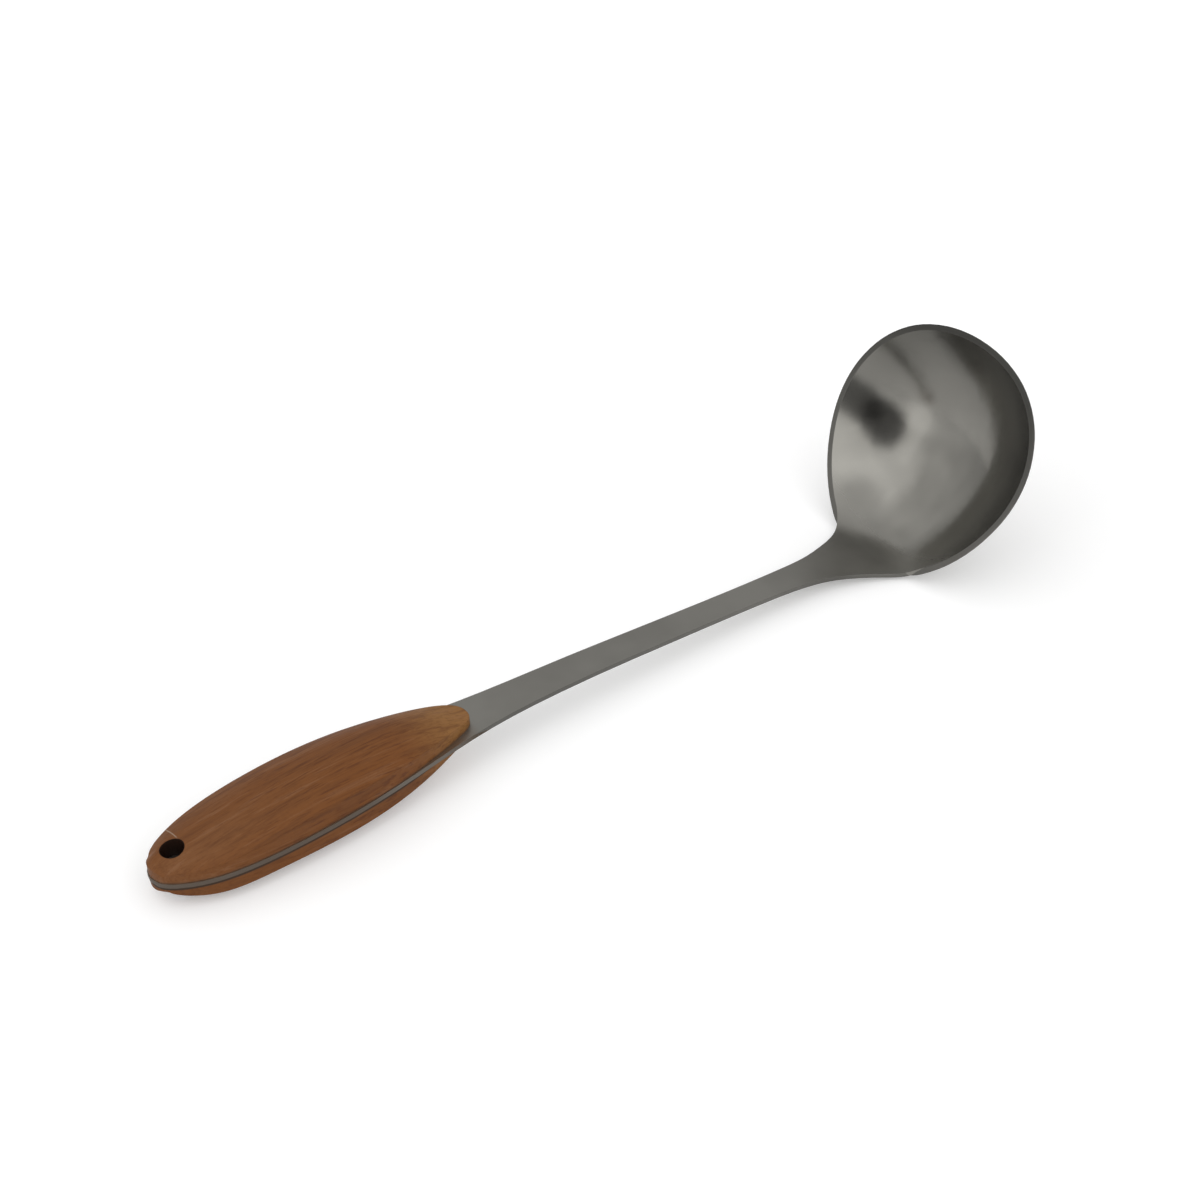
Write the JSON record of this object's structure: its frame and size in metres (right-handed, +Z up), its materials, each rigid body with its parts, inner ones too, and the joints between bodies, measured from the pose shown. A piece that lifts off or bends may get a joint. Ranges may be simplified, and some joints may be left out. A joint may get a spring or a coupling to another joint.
{
  "type": "ladle",
  "caption": "Kitchen ladle with a round, tilted steel bowl on a slim strap, and a bamboo handle with a hanging hole.",
  "frame": {"origin": "on the table the ladle lies on, under the middle of its box", "axes": "+X along the handle towards the bowl, +Z up from the table, and the ladle is the same on both sides of the XZ plane"},
  "size_m": [0.3088, 0.0828, 0.0682],
  "materials": {
    "steel": "satin, brushed along the strap",
    "upper_bamboo": "smooth bamboo, thinly oiled, fine lengthwise grain",
    "lower_bamboo": "smooth bamboo, thinly oiled, fine lengthwise grain"
  },
  "bodies": {
    "root": {"ladle_steel": "steel", "upper_scale": "upper_bamboo", "lower_scale": "lower_bamboo"}
  },
  "joints": []
}
